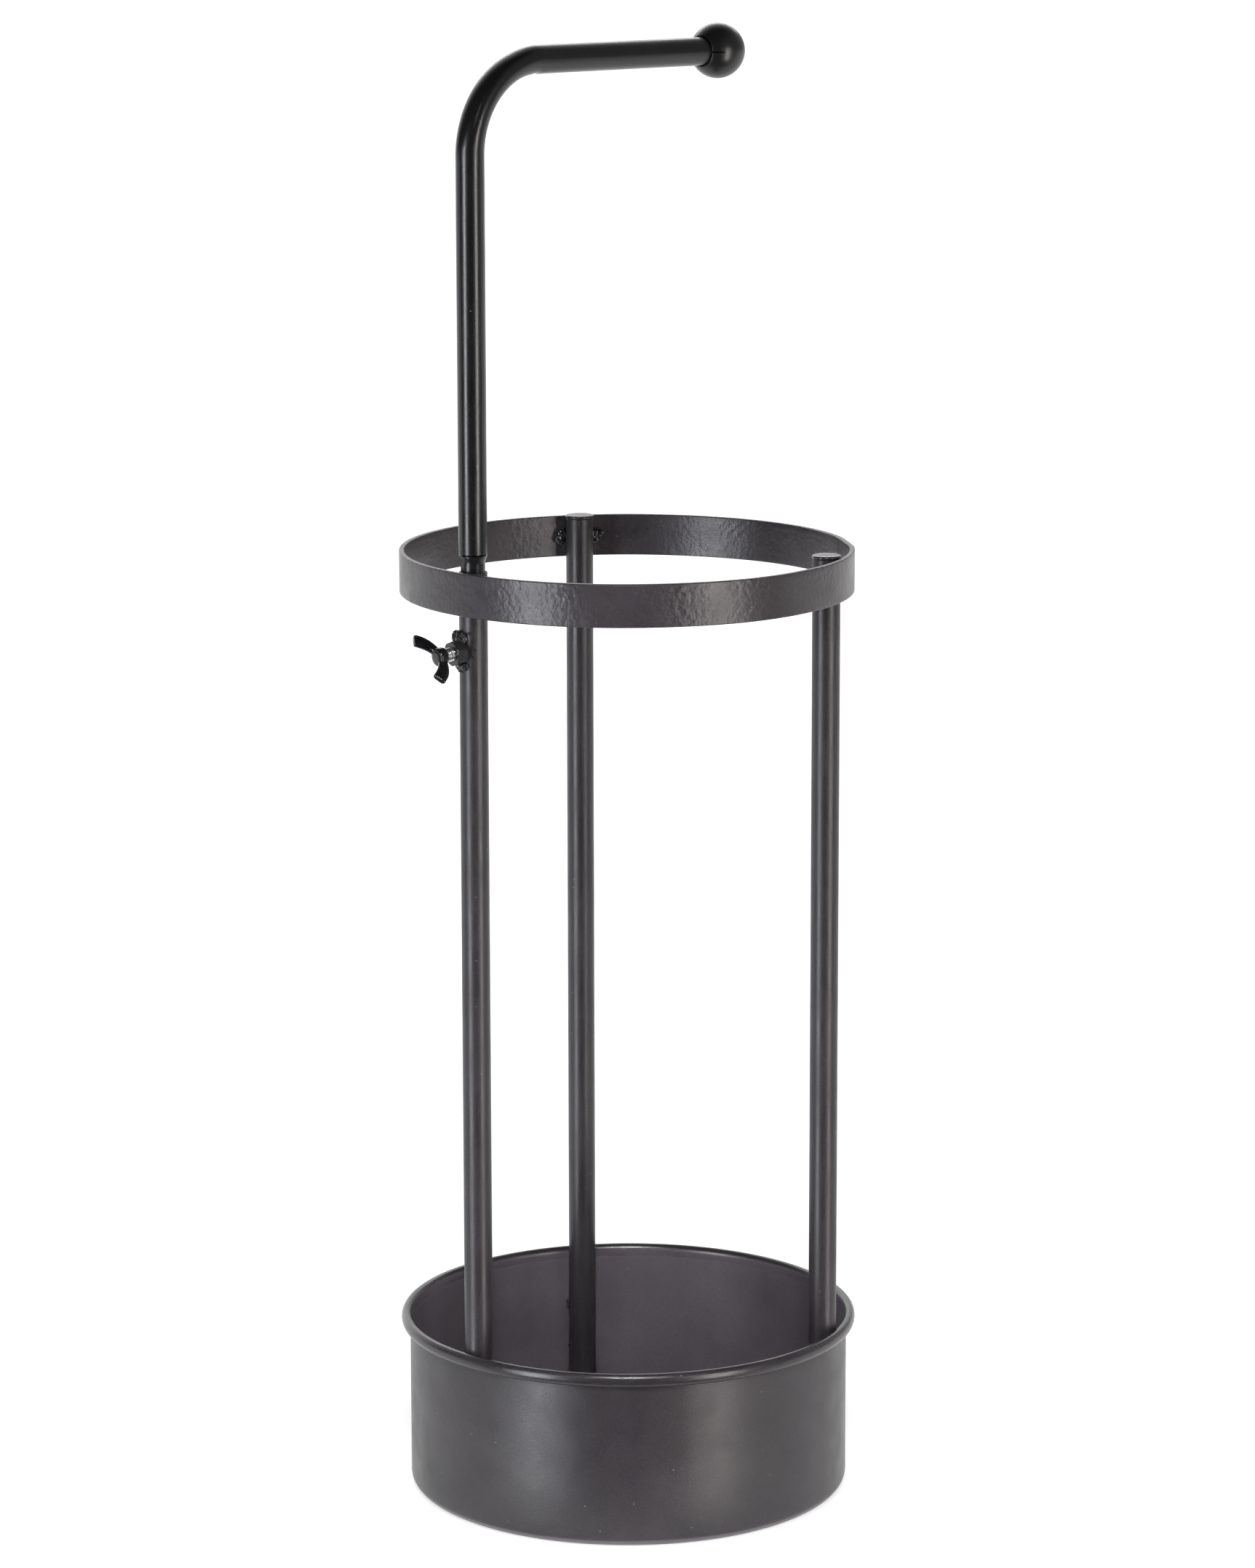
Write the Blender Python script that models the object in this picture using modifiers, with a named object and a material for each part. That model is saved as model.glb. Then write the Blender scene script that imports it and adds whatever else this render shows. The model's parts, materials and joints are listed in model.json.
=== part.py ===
"""Umbrella stand: drip pan, three posts, hoop, and a lift-out handle clamped by a wing screw.

Metres, +Z up. The origin is the centre of the pan's underside. The handle's arm reaches from
the socket post over the middle of the hoop.
"""
import math

import bmesh
import bpy
from mathutils import Matrix, Vector

# Clearance between pieces that touch on the real stand
GAP = 0.0003
MERGE = 0.00005

# Round tube used for the posts and the handle
TUBE_R = 0.008
TUBE_WALL = 0.001
TUBE_SIDES = 32

# Hoop of flat bar
HOOP_R = 0.130
HOOP_BAR = 0.003
HOOP_HEIGHT = 0.0243
HOOP_TOP = 0.5552
HOOP_EDGE = 0.0006
HOOP_SEAM_BEARING = math.radians(3.0)
HOOP_SEAM_WIDTH = 0.0034

# Drip pan with an outward curl round its rim, taller than it is wide
PAN_R = 0.1280
PAN_SHEET = 0.0010
PAN_HEIGHT = 0.1043
PAN_CORNER = 0.0060
CURL_R = 0.0030
CURL_STRETCH = 1.32
CURL_SWEEP = math.radians(295)
ROUND_STEPS = 64

# Posts: bearing of each round the stand, from +X towards +Y
POST_CIRCLE = HOOP_R - HOOP_BAR - GAP - TUBE_R
SOCKET_BEARING = math.radians(223.9)
REAR_BEARING = math.radians(103.65)
RIGHT_BEARING = math.radians(341.5)
POST_FOOT = 0.0058  # clear of the curve inside the pan's corner
POST_TOP = HOOP_TOP - 0.0003
CAP_THICK = 0.0016
CAP_R = TUBE_R + 0.0002
CAP_PLUG_R = TUBE_R - TUBE_WALL - GAP
CAP_PLUG_DEPTH = 0.006

# Handle
SPIGOT_R = 0.0068
SPIGOT_WALL = 0.001
SPIGOT_FOOT = POST_TOP - 0.100
NECK_TOP = 0.5597
SHOULDER_TOP = 0.5646
ARM_HEIGHT = 0.8352
ARM_DROOP = math.radians(0.65)
BEND_R = 0.0500
BEND_STEPS = 10
ARM_REACH = 0.1910
BALL_R = 0.0157
BALL_BORE_R = TUBE_R + GAP
BALL_BORE_PAST_CENTRE = 0.002

# Wing screw and the nut welded to the socket post
SCREW_HEIGHT = 0.5111
SCREW_BEARING = math.radians(218.0)
SCREW_DROOP = math.radians(4.6)
STUD_R = 0.0040
STUD_TIP = SPIGOT_R + GAP + 0.0002
NUT_FLATS = 0.013
NUT_THICK = 0.0064
NUT_BASE = TUBE_R + 0.0009
NUT_TURN = math.radians(-8.0)
HEAD_BASE = 0.0206
HEAD_LENGTH = 0.0057
HEAD_R = 0.0052
HEAD_BORE_DEPTH = 0.0042
WING_TURN = math.radians(137.7)
WING_ROOT = (0.0030, 0.0029)
WING_TIP = (0.0143, 0.0122)
WING_HEADING = math.radians(63.0)
WING_HALF_WIDTH = 0.0031
WING_THICK = 0.0027

# Weld beads: half sizes along the seam, across it and up
HOOP_BEAD = (0.0052, 0.0036, 0.0034)
PAN_BEAD = (0.0024, 0.0022, 0.0027)
PAN_BEAD_HEIGHTS = {"upper": 0.070, "lower": 0.042}
NUT_BEAD = (0.0042, 0.0028, 0.0036)


def clear_scene():
    for thing in list(bpy.data.objects):
        bpy.data.objects.remove(thing, do_unlink=True)


def new_collection(name):
    group = bpy.data.collections.new(name)
    bpy.context.scene.collection.children.link(group)
    return group


clear_scene()
PARTS = new_collection("umbrella_stand")
CUTTERS = new_collection("cutters")


def material(name, colour, roughness, metallic):
    mat = bpy.data.materials.new(name)
    mat.use_nodes = True
    shader = mat.node_tree.nodes["Principled BSDF"]
    shader.inputs["Base Color"].default_value = (*colour, 1.0)
    shader.inputs["Roughness"].default_value = roughness
    shader.inputs["Metallic"].default_value = metallic
    mat.diffuse_color = (*colour, 1.0)
    return mat


CHARCOAL = material("charcoal_powder_coat", (0.045, 0.043, 0.047), 0.45, 0.2)
BLACK_PAINT = material("satin_black_paint", (0.018, 0.018, 0.020), 0.35, 0.1)
BLACK_PLASTIC = material("matte_black_plastic", (0.012, 0.012, 0.013), 0.55, 0.0)
BLACK_GLOSS = material("gloss_black_head", (0.010, 0.010, 0.011), 0.25, 0.0)
ZINC = material("zinc_plating", (0.62, 0.62, 0.60), 0.3, 1.0)


def add_part(name, mesh, mat, matrix=None):
    """A named piece of the stand, smooth where it is round."""
    part = bpy.data.objects.new(name, mesh)
    PARTS.objects.link(part)
    part.data.materials.append(mat)
    if matrix is not None:
        part.matrix_world = matrix
    return part


def add_cutter(name, mesh, matrix=None):
    cutter = bpy.data.objects.new(name, mesh)
    CUTTERS.objects.link(cutter)
    cutter.hide_render = True
    cutter.display_type = "WIRE"
    if matrix is not None:
        cutter.matrix_world = matrix
    return cutter


def smooth(mesh, angle=35.0):
    mesh.shade_smooth()
    mesh.set_sharp_from_angle(angle=math.radians(angle))


def profile_mesh(name, points, closed):
    """An edge loop in the XZ plane, ready to be turned about Z."""
    work = bmesh.new()
    verts = [work.verts.new((x, 0.0, z)) for x, z in points]
    for first, second in zip(verts, verts[1:]):
        work.edges.new((first, second))
    if closed:
        work.edges.new((verts[-1], verts[0]))
    mesh = bpy.data.meshes.new(name)
    work.to_mesh(mesh)
    work.free()
    return mesh


def turn(thing, steps):
    """Turn a profile a full circle about Z."""
    screw = thing.modifiers.new("turned", "SCREW")
    screw.axis = "Z"
    screw.angle = 2 * math.pi
    screw.steps = steps
    screw.render_steps = steps
    screw.use_merge_vertices = True
    screw.merge_threshold = MERGE
    screw.use_smooth_shade = True
    return thing


def turned_part(name, points, mat, steps, matrix=None, closed=True):
    return turn(add_part(name, profile_mesh(name, points, closed), mat, matrix), steps)


def arc(centre, radius, start, sweep, steps):
    """Points along an arc, both ends included; negative sweeps run clockwise."""
    return [(centre[0] + radius * math.cos(start + sweep * i / steps),
             centre[1] + radius * math.sin(start + sweep * i / steps)) for i in range(steps + 1)]


def cylinder_mesh(name, radius, length, sides=TUBE_SIDES, base=0.0):
    """A capped cylinder along +Z that starts at the given height."""
    work = bmesh.new()
    bmesh.ops.create_cone(work, cap_ends=True, segments=sides, radius1=radius, radius2=radius,
                          depth=length, matrix=Matrix.Translation((0, 0, base + length / 2)))
    mesh = bpy.data.meshes.new(name)
    work.to_mesh(mesh)
    work.free()
    return mesh


def box_mesh(name, size, centre=(0, 0, 0)):
    work = bmesh.new()
    bmesh.ops.create_cube(work, size=1.0)
    bmesh.ops.scale(work, vec=size, verts=work.verts)
    bmesh.ops.translate(work, vec=centre, verts=work.verts)
    mesh = bpy.data.meshes.new(name)
    work.to_mesh(mesh)
    work.free()
    return mesh


def ellipsoid_mesh(name, half_sizes, rings=9, segments=14):
    work = bmesh.new()
    bmesh.ops.create_uvsphere(work, u_segments=segments, v_segments=rings, radius=1.0)
    bmesh.ops.scale(work, vec=half_sizes, verts=work.verts)
    mesh = bpy.data.meshes.new(name)
    work.to_mesh(mesh)
    work.free()
    smooth(mesh, 60)
    return mesh


def combine(part, cutter, operation="DIFFERENCE"):
    """Boolean of a part with a cutter, solved exactly."""
    mod = part.modifiers.new(cutter.name, "BOOLEAN")
    mod.operation = operation
    mod.object = cutter
    mod.solver = "EXACT"
    return part


def at_bearing(bearing, radius, height=0.0):
    return Vector((radius * math.cos(bearing), radius * math.sin(bearing), height))


def frame_at(place, bearing):
    """X along the bearing, Y to its left, Z up."""
    return Matrix.Translation(place) @ Matrix.Rotation(bearing, 4, "Z")


SOCKET = at_bearing(SOCKET_BEARING, POST_CIRCLE)
REAR = at_bearing(REAR_BEARING, POST_CIRCLE)
RIGHT = at_bearing(RIGHT_BEARING, POST_CIRCLE)
POSTS = {"socket": (SOCKET, SOCKET_BEARING), "rear": (REAR, REAR_BEARING), "right": (RIGHT, RIGHT_BEARING)}


def screw_frame(turn_angle=0.0):
    """Z out along the screw from the socket post's axis, X level, Y up, turned about Z."""
    level = Matrix.Rotation(SCREW_BEARING, 4, "Z") @ Matrix.Rotation(math.pi / 2 + SCREW_DROOP, 4, "Y")
    upright = Matrix.Rotation(math.pi / 2, 4, "Z")
    place = SOCKET + Vector((0, 0, SCREW_HEIGHT))
    return Matrix.Translation(place) @ level @ upright @ Matrix.Rotation(turn_angle, 4, "Z")


def clearance(name, radius, length, base, matrix, sides=48):
    """A cylinder that keeps weld metal off a neighbour."""
    return add_cutter("clear_" + name, cylinder_mesh("clear_" + name, radius, length, sides, base), matrix)


POST_CLEAR = {
    name: clearance(name + "_post", TUBE_R + GAP, 0.60, -0.01, Matrix.Translation(place), 32)
    for name, (place, _) in POSTS.items()
}


def make_pan():
    """Sheet pan: flat floor, rounded corner, upright wall and a rim curled outwards and down."""
    inner_r = PAN_R - PAN_SHEET
    inner_corner = PAN_CORNER - PAN_SHEET
    curl = (inner_r + CURL_R, PAN_HEIGHT - CURL_R * CURL_STRETCH)
    outer = arc(curl, CURL_R, math.pi, -CURL_SWEEP, 11)
    outer += arc(curl, CURL_R - PAN_SHEET, math.pi - CURL_SWEEP, CURL_SWEEP, 7)
    points = [(0.0, PAN_SHEET)]
    points += arc((PAN_R - PAN_CORNER, PAN_CORNER), inner_corner, -math.pi / 2, math.pi / 2, 3)
    points += [(x, curl[1] + (z - curl[1]) * CURL_STRETCH) for x, z in outer]
    points += arc((PAN_R - PAN_CORNER, PAN_CORNER), PAN_CORNER, 0.0, -math.pi / 2, 4)
    points += [(0.0, 0.0)]
    return turned_part("drip_pan", points, CHARCOAL, ROUND_STEPS, closed=False)


def make_hoop():
    """Flat bar rolled to a hoop, with a slot at the butt joint that the seam weld fills."""
    inner = HOOP_R - HOOP_BAR
    low = HOOP_TOP - HOOP_HEIGHT
    edge = HOOP_EDGE
    points = [(HOOP_R, HOOP_TOP - edge), (HOOP_R, low + edge), (HOOP_R - edge, low), (inner + edge, low),
              (inner, low + edge), (inner, HOOP_TOP - edge), (inner + edge, HOOP_TOP), (HOOP_R - edge, HOOP_TOP)]
    hoop = turned_part("ring_band", points, CHARCOAL, ROUND_STEPS + 8)
    middle = (HOOP_R - HOOP_BAR / 2, 0, HOOP_TOP - HOOP_HEIGHT / 2)
    slot = box_mesh("seam_slot", (0.012, HOOP_SEAM_WIDTH + 2 * GAP, HOOP_HEIGHT * 2), middle)
    seam = Matrix.Rotation(HOOP_SEAM_BEARING, 4, "Z")
    combine(hoop, add_cutter("seam_slot", slot, seam))
    bead = box_mesh("ring_seam_weld", (HOOP_BAR + 0.0006, HOOP_SEAM_WIDTH, HOOP_HEIGHT - 0.0006), middle)
    weld = add_part("ring_seam_weld", bead, CHARCOAL, seam)
    crown = weld.modifiers.new("crown", "BEVEL")
    crown.width = 0.0005
    crown.segments = 2
    crown.limit_method = "ANGLE"


def make_post(name, place):
    inner = TUBE_R - TUBE_WALL
    points = [(TUBE_R, POST_TOP), (TUBE_R, POST_FOOT), (inner, POST_FOOT), (inner, POST_TOP)]
    return turned_part(name + "_post", points, CHARCOAL, TUBE_SIDES, Matrix.Translation(place))


def make_cap(name, place):
    """Pressed plug: a low domed disc over the tube's end and a short spigot inside it."""
    base = POST_TOP + GAP
    top = base + CAP_THICK
    points = [(0.0, top + 0.0003), (CAP_R * 0.6, top + 0.0002), (CAP_R - 0.0006, top)]
    points += [(CAP_R, top - 0.0006), (CAP_R, base), (CAP_PLUG_R, base)]
    points += [(CAP_PLUG_R, base - CAP_PLUG_DEPTH), (0.0, base - CAP_PLUG_DEPTH)]
    return turned_part(name + "_post_cap", points, CHARCOAL, TUBE_SIDES, Matrix.Translation(place), closed=False)


def make_hoop_welds():
    """Two beads a post, in the crevices between the post and the hoop's inner face."""
    inside = clearance("hoop_inside", HOOP_R - HOOP_BAR - GAP, 0.05, HOOP_TOP - 0.038, Matrix.Identity(4), 72)
    height = HOOP_TOP - HOOP_HEIGHT / 2 + 0.0012
    for name, (_, bearing) in POSTS.items():
        for side, sign in (("left", 1), ("right", -1)):
            label = f"{name}_ring_weld_{side}"
            swing = sign * 0.0088 / HOOP_R
            place = at_bearing(bearing + swing, HOOP_R - HOOP_BAR - 0.0026, height)
            half = (HOOP_BEAD[1], HOOP_BEAD[0], HOOP_BEAD[2])
            bead = add_part(label, ellipsoid_mesh(label, half), CHARCOAL, frame_at(place, bearing + swing))
            combine(bead, inside, "INTERSECT")
            combine(bead, POST_CLEAR[name])


def make_pan_welds():
    """Small tacks between each post and the pan's wall, one above the other."""
    inside = clearance("pan_inside", PAN_R - PAN_SHEET - GAP, 0.09, 0.003, Matrix.Identity(4), ROUND_STEPS)
    for name, (_, bearing) in POSTS.items():
        for level, height in PAN_BEAD_HEIGHTS.items():
            label = f"{name}_pan_weld_{level}"
            swing = 0.0062 / PAN_R
            place = at_bearing(bearing + swing, PAN_R - PAN_SHEET - 0.0022, height)
            half = (PAN_BEAD[1], PAN_BEAD[0], PAN_BEAD[2])
            bead = add_part(label, ellipsoid_mesh(label, half), CHARCOAL, frame_at(place, bearing + swing))
            combine(bead, inside, "INTERSECT")
            combine(bead, POST_CLEAR[name])


def make_nut():
    """Hexagon nut on the socket post, with its plain bore, and a bead above and below it."""
    corner_r = NUT_FLATS / math.sqrt(3)
    seat = screw_frame(NUT_TURN)
    nut = add_part("weld_nut", cylinder_mesh("weld_nut", corner_r, NUT_THICK, 6, NUT_BASE), CHARCOAL, seat)
    edge = nut.modifiers.new("edge", "BEVEL")
    edge.width = 0.0004
    edge.segments = 1
    bore = clearance("stud_bore", STUD_R + GAP, 0.030, 0.004, screw_frame(), TUBE_SIDES)
    combine(nut, bore)
    hexagon = cylinder_mesh("clear_nut", corner_r + GAP * 1.3, NUT_THICK + 2 * GAP, 6, NUT_BASE - GAP)
    keep_off = add_cutter("clear_nut", hexagon, seat)
    for level, sign in (("upper", 1), ("lower", -1)):
        label = "nut_weld_" + level
        place = screw_frame() @ Matrix.Translation((0, sign * 0.0078, TUBE_R + 0.0012))
        half = (NUT_BEAD[0], NUT_BEAD[2], NUT_BEAD[1])
        bead = add_part(label, ellipsoid_mesh(label, half), CHARCOAL, place)
        combine(bead, POST_CLEAR["socket"])
        combine(bead, keep_off)
    return bore


def make_spigot():
    """Reduced lower end of the handle: shoulder, neck and the length that stands in the socket."""
    inner = SPIGOT_R - SPIGOT_WALL
    top = SHOULDER_TOP
    points = [(TUBE_R, top), (SPIGOT_R, NECK_TOP), (SPIGOT_R, SPIGOT_FOOT), (inner, SPIGOT_FOOT), (inner, top)]
    return turned_part("handle_spigot", points, BLACK_PAINT, TUBE_SIDES, Matrix.Translation(SOCKET))


def arm_height_at(out):
    """Height of the arm's centre line this far out; past the bend it droops in a straight line."""
    bend_end = BEND_R * (1 + math.sin(ARM_DROOP))
    bend_end_height = ARM_HEIGHT - BEND_R * (1 - math.cos(ARM_DROOP))
    return bend_end_height - (out - bend_end) * math.tan(ARM_DROOP)


def handle_route():
    """Centre line of the handle from its shoulder up, round the bend and out to the ball."""
    bend = arc((BEND_R, ARM_HEIGHT - BEND_R), BEND_R, math.pi, -math.pi / 2 - ARM_DROOP, BEND_STEPS)
    end = ARM_REACH + BALL_BORE_PAST_CENTRE - GAP
    return [(0.0, SHOULDER_TOP + GAP)] + bend + [(end, arm_height_at(end))]


ARM_BEARING = SOCKET_BEARING - math.pi


def make_handle():
    """Bent tube, open at both ends."""
    curve = bpy.data.curves.new("handle_route", "CURVE")
    curve.dimensions = "3D"
    curve.bevel_depth = TUBE_R
    curve.bevel_resolution = 10
    curve.use_fill_caps = False
    route = handle_route()
    spline = curve.splines.new("POLY")
    spline.points.add(len(route) - 1)
    for point, (out, up) in zip(spline.points, route):
        point.co = (out, 0.0, up, 1.0)
    guide = bpy.data.objects.new("handle_route", curve)
    CUTTERS.objects.link(guide)
    bpy.context.view_layer.update()
    mesh = bpy.data.meshes.new_from_object(guide.evaluated_get(bpy.context.evaluated_depsgraph_get()))
    bpy.data.objects.remove(guide, do_unlink=True)
    mesh.materials.clear()
    smooth(mesh)
    handle = add_part("handle_tube", mesh, BLACK_PAINT, frame_at(SOCKET, ARM_BEARING))
    wall = handle.modifiers.new("tube_wall", "SOLIDIFY")
    wall.thickness = TUBE_WALL
    wall.offset = -1.0
    wall.use_even_offset = True
    return handle


def make_ball():
    """Push-on ball with a blind bore for the tube and a slit in its lip."""
    centre = frame_at(SOCKET, ARM_BEARING) @ Matrix.Translation((ARM_REACH, 0, arm_height_at(ARM_REACH)))
    work = bmesh.new()
    bmesh.ops.create_uvsphere(work, u_segments=36, v_segments=22, radius=BALL_R)
    mesh = bpy.data.meshes.new("ball_end")
    work.to_mesh(mesh)
    work.free()
    smooth(mesh)
    along_arm = Matrix.Rotation(math.pi / 2 + ARM_DROOP, 4, "Y")
    ball = add_part("ball_end", mesh, BLACK_PLASTIC, centre @ along_arm)
    bore = clearance("ball_bore", BALL_BORE_R, 0.030, BALL_BORE_PAST_CENTRE - 0.030, centre @ along_arm, 24)
    combine(ball, bore)
    slit = box_mesh("lip_slit", (0.0006, 0.005, 0.008), (0, -TUBE_R - 0.0015, -0.0125))
    combine(ball, add_cutter("lip_slit", slit, centre @ along_arm))
    return ball


def make_stud():
    """Screw shank, turned plain: tip against the spigot, far end inside the head."""
    end = HEAD_BASE + HEAD_BORE_DEPTH - GAP
    chamfer = 0.0008
    points = [(0.0, end), (STUD_R - chamfer, end), (STUD_R, end - chamfer), (STUD_R, STUD_TIP + chamfer)]
    points += [(STUD_R - chamfer, STUD_TIP), (0.0, STUD_TIP)]
    return turned_part("wing_screw_stud", points, ZINC, 24, screw_frame(), closed=False)


def wing_outline():
    """One ear: a band of even width along an arc that bends from level to nearly axial."""
    (root_x, root_z), (tip_x, tip_z) = WING_ROOT, WING_TIP
    chord = math.hypot(tip_x - root_x, tip_z - root_z)
    chord_heading = math.atan2(tip_z - root_z, tip_x - root_x)
    half_turn = WING_HEADING - chord_heading
    radius = chord / (2 * math.sin(half_turn))
    start = chord_heading - half_turn - math.pi / 2
    centre = (root_x - radius * math.cos(start), root_z - radius * math.sin(start))
    outer = arc(centre, radius + WING_HALF_WIDTH, start, 2 * half_turn, 6)
    inner = arc(centre, radius - WING_HALF_WIDTH, start + 2 * half_turn, -2 * half_turn, 5)
    return outer + inner


def wing_mesh(name, mirrored):
    """Flat plate of the ear's outline, extruded to its thickness."""
    curve = bpy.data.curves.new(name, "CURVE")
    curve.dimensions = "2D"
    curve.fill_mode = "BOTH"
    curve.extrude = WING_THICK / 2
    outline = wing_outline()
    spline = curve.splines.new("POLY")
    spline.points.add(len(outline) - 1)
    for point, (x, z) in zip(spline.points, outline):
        point.co = (x, z, 0.0, 1.0)
    spline.use_cyclic_u = True
    guide = bpy.data.objects.new(name, curve)
    CUTTERS.objects.link(guide)
    stand = Matrix.Rotation(math.pi / 2, 4, "X")
    if mirrored:
        stand = Matrix.Rotation(math.pi, 4, "Z") @ stand
    guide.matrix_world = Matrix.Translation((0, 0, HEAD_BASE)) @ stand
    bpy.context.view_layer.update()
    mesh = bpy.data.meshes.new_from_object(guide.evaluated_get(bpy.context.evaluated_depsgraph_get()))
    mesh.transform(guide.matrix_world)
    bpy.data.objects.remove(guide, do_unlink=True)
    work = bmesh.new()
    work.from_mesh(mesh)
    bmesh.ops.remove_doubles(work, verts=work.verts, dist=MERGE)
    work.to_mesh(mesh)
    work.free()
    return mesh


def make_head():
    """Round boss with a blind bore for the stud and two ears that flare outwards."""
    end = HEAD_BASE + HEAD_LENGTH
    bore_end = HEAD_BASE + HEAD_BORE_DEPTH
    bore_r = STUD_R + GAP
    points = [(0.0, end), (HEAD_R - 0.0016, end - 0.0002), (HEAD_R - 0.0004, end - 0.0009)]
    points += [(HEAD_R, end - 0.0018), (HEAD_R, HEAD_BASE), (bore_r, HEAD_BASE), (bore_r, bore_end), (0.0, bore_end)]
    head = turned_part("wing_screw_head", points, BLACK_GLOSS, 24, screw_frame(WING_TURN), closed=False)
    for side, mirrored in (("a", False), ("b", True)):
        ear = add_cutter("ear_" + side, wing_mesh("ear_" + side, mirrored), screw_frame(WING_TURN))
        combine(head, ear, "UNION")
    bore_mesh = cylinder_mesh("head_bore", bore_r, HEAD_BORE_DEPTH + 0.004, 24, HEAD_BASE - 0.004)
    combine(head, add_cutter("head_bore", bore_mesh, screw_frame(WING_TURN)))
    return head


make_pan()
make_hoop()
socket_post = make_post("socket", SOCKET)
make_post("rear", REAR)
make_post("right", RIGHT)
make_cap("rear", REAR)
make_cap("right", RIGHT)
make_hoop_welds()
make_pan_welds()
stud_bore = make_nut()
combine(socket_post, stud_bore)
make_spigot()
make_handle()
make_ball()
make_stud()
make_head()
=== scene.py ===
import json
import math

import bmesh
import bpy
from mathutils import Matrix, Vector, noise


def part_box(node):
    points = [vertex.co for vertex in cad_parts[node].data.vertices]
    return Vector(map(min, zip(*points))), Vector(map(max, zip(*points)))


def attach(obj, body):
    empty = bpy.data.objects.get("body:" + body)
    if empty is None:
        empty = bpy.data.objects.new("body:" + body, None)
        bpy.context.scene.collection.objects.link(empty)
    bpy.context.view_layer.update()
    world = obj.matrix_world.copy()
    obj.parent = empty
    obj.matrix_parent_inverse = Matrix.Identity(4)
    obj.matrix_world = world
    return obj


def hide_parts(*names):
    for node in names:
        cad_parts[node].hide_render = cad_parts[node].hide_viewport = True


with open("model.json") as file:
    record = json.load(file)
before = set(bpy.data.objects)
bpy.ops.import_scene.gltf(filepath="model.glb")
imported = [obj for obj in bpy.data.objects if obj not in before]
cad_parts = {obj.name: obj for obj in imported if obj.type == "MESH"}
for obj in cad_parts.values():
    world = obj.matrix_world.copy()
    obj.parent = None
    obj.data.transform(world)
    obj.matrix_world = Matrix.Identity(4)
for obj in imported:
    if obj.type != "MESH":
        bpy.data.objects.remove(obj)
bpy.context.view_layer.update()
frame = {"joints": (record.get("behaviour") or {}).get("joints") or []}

TAU = 2 * math.pi
AXIS_GAP = 0.00002    # smallest radius of a turned ring, so that no two points coincide on the axis
FIT_GAP = 0.0003      # clearance between pieces that touch on the real stand

# ---------------------------------------------------------------- sizes read from the frame


def box_centre(node):
    low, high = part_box(node)
    return (Vector(low) + Vector(high)) / 2


def joint(name):
    return next(entry for entry in frame["joints"] if entry["name"] == name)


HOOP_LOW, HOOP_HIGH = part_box("ring_band")
HOOP_R = (HOOP_HIGH[0] - HOOP_LOW[0]) / 2
HOOP_FOOT = HOOP_LOW[2]
HOOP_TOP = HOOP_HIGH[2]
PAN_LOW, PAN_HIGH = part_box("drip_pan")
RIM_R = (PAN_HIGH[0] - PAN_LOW[0]) / 2
PAN_TOP = PAN_HIGH[2]
POST_LOW, POST_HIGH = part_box("socket_post")
TUBE_R = (POST_HIGH[0] - POST_LOW[0]) / 2
POST_FOOT = POST_LOW[2]
POST_TOP = POST_HIGH[2]
POSTS = {name: box_centre(name + "_post").xy.to_3d() for name in ("socket", "rear", "right")}
BEARINGS = {name: math.atan2(place.y, place.x) for name, place in POSTS.items()}
SOCKET = POSTS["socket"]
CAP_BASE = POST_TOP + FIT_GAP
SHOULDER_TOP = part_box("handle_spigot")[1][2]
SPIGOT_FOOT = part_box("handle_spigot")[0][2]
BALL = box_centre("ball_end")
BALL_R = (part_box("ball_end")[1][2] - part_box("ball_end")[0][2]) / 2
ARM_REACH = (BALL.xy - SOCKET.xy).length
ARM_BEARING = math.atan2(BALL.y - SOCKET.y, BALL.x - SOCKET.x)
SCREW_AXIS = Vector(joint("screw_turn")["axis"]).normalized()
SCREW_SEAT = Vector(joint("screw_turn")["pos_m"])

# ---------------------------------------------------------------- sizes the boxes don't give
HOOP_BAR = 0.0030
HOOP_EDGE = 0.0007
HOOP_SEAM = math.radians(3.0)        # bearing of the butt joint
PAN_SHEET = 0.0010
CURL_R = 0.0030
CURL_STRETCH = 1.32                  # the curl is this much taller than wide
CURL_SWEEP = 295                     # degrees the sheet turns through in the curl
PAN_R = RIM_R - 2 * CURL_R + PAN_SHEET
PAN_CORNER = 0.0070
TUBE_WALL = 0.0010
SPIGOT_R = 0.0068
NECK_TOP = 0.5597
BEND_R = 0.0500
ARM_DROOP = math.radians(0.65)
HEAD_BASE = 0.0206
STUD_R = 0.0040
THREAD_PITCH = 0.00125
NUT_FLATS = 0.0130
NUT_THICK = 0.0064
NUT_BASE = TUBE_R + 0.0009
NUT_TURN = math.radians(-8.0)        # about the screw's axis; at 0 two of the flats stand upright
HEAD_TURN = math.radians(137.7)      # about the screw's axis; at 0 the ears are level

# ---------------------------------------------------------------- mesh helpers


def mesh_object(name, verts, faces, mat, crease=40.0):
    """An object of its own at the origin, normals outwards, smooth apart from edges over crease."""
    work = bmesh.new()
    points = [work.verts.new(v) for v in verts]
    for face in faces:
        work.faces.new([points[i] for i in face])
    bmesh.ops.recalc_face_normals(work, faces=work.faces)
    mesh = bpy.data.meshes.new(name)
    work.to_mesh(mesh)
    work.free()
    mesh.shade_smooth()
    mesh.set_sharp_from_angle(angle=math.radians(crease))
    mesh.materials.append(mat)
    thing = bpy.data.objects.new(name, mesh)
    bpy.context.scene.collection.objects.link(thing)
    return thing


def skin(rings, closed=False):
    """Points and faces over rings of equal counts; open skins get a cap on each end."""
    count = len(rings[0])
    verts = [point for ring in rings for point in ring]
    faces = []
    for i in range(len(rings) if closed else len(rings) - 1):
        here, there = i * count, (i + 1) % len(rings) * count
        for j in range(count):
            k = (j + 1) % count
            faces.append((here + j, here + k, there + k, there + j))
    if not closed:
        faces.append(tuple(range(count)))
        faces.append(tuple(range(len(verts) - count, len(verts))))
    return verts, faces


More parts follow.
